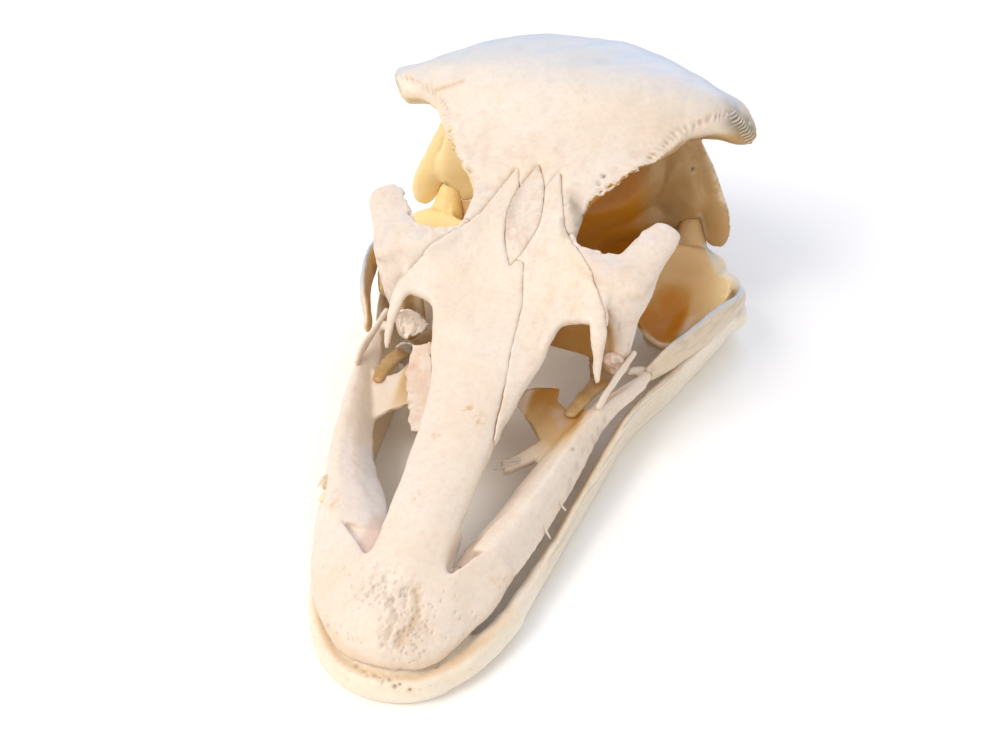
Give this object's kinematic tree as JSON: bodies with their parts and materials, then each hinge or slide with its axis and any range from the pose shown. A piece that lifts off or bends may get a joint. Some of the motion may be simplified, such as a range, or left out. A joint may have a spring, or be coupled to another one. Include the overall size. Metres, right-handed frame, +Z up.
{
  "type": "ostrich skull",
  "caption": "Life-size ostrich skull with its lower jaw, bones parted at their sutures, resting on the jaw as a still museum model.",
  "frame": {"origin": "centre of the bounding box at the level the lower jaw rests on", "axes": "+Z up, -Y towards the bill tip, +X to the skull's left"},
  "size_m": [0.1044, 0.1866, 0.0708],
  "materials": {
    "bone": "cleaned ivory bone, satin",
    "pale_bone": "thin pale bone, satin",
    "amber_bone": "amber bone with dried membrane, slightly glossy",
    "jaw_bone": "ivory jaw bone, grooved, satin"
  },
  "bodies": {
    "root": {"cranium": "bone", "mesethmoid": "pale_bone", "premaxilla": "bone", "nasal_l": "bone", "nasal_r": "bone", "lacrimal_l": "pale_bone", "lacrimal_r": "pale_bone", "maxilla_l": "bone", "maxilla_r": "bone", "jugal_splint_l": "bone", "jugal_splint_r": "bone", "quadratojugal_l": "bone", "quadratojugal_r": "bone", "quadrate_l": "amber_bone", "quadrate_r": "amber_bone", "pterygoid_l": "amber_bone", "pterygoid_r": "amber_bone", "palatine_l": "amber_bone", "palatine_r": "amber_bone", "vomer": "pale_bone", "dentary_tip": "jaw_bone", "ramus_l": "jaw_bone", "ramus_r": "jaw_bone", "articular_l": "jaw_bone", "articular_r": "jaw_bone"}
  },
  "joints": []
}
